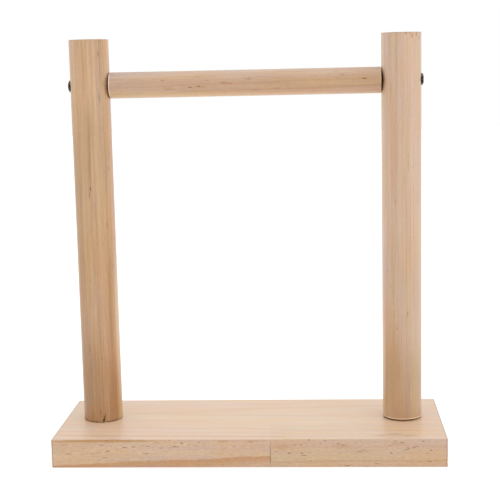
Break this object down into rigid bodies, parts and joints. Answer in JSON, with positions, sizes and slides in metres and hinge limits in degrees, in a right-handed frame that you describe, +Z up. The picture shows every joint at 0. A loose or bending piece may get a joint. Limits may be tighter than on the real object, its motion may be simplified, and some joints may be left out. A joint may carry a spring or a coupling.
{
  "type": "parrot play stand",
  "caption": "Tabletop bird stand: a round wooden perch screwed between two round posts that rise from a rectangular glued-up pine board.",
  "frame": {"origin": "middle of the board's underside", "axes": "+X along the board towards the right-hand post, +Y across the board towards its back edge, +Z up along the posts"},
  "size_m": [0.246, 0.09, 0.265],
  "materials": {
    "board_pine": "bare sanded pine, pale pinkish cream with straight grain",
    "post_pine": "bare sanded pine dowel, light tan with grain along its length",
    "perch_pine": "bare sanded pine dowel, light tan with small dark flecks",
    "perch_screw_steel": "dark steel pan head with a cross recess",
    "base_screw_steel": "zinc-plated steel countersunk head with a cross recess"
  },
  "bodies": {
    "root": {"front_stave_left": "board_pine", "front_stave_right": "board_pine", "rear_stave": "board_pine", "left_post": "post_pine", "right_post": "post_pine", "perch": "perch_pine", "left_perch_screw": "perch_screw_steel", "right_perch_screw": "perch_screw_steel", "left_base_screw": "base_screw_steel", "right_base_screw": "base_screw_steel"}
  },
  "joints": []
}
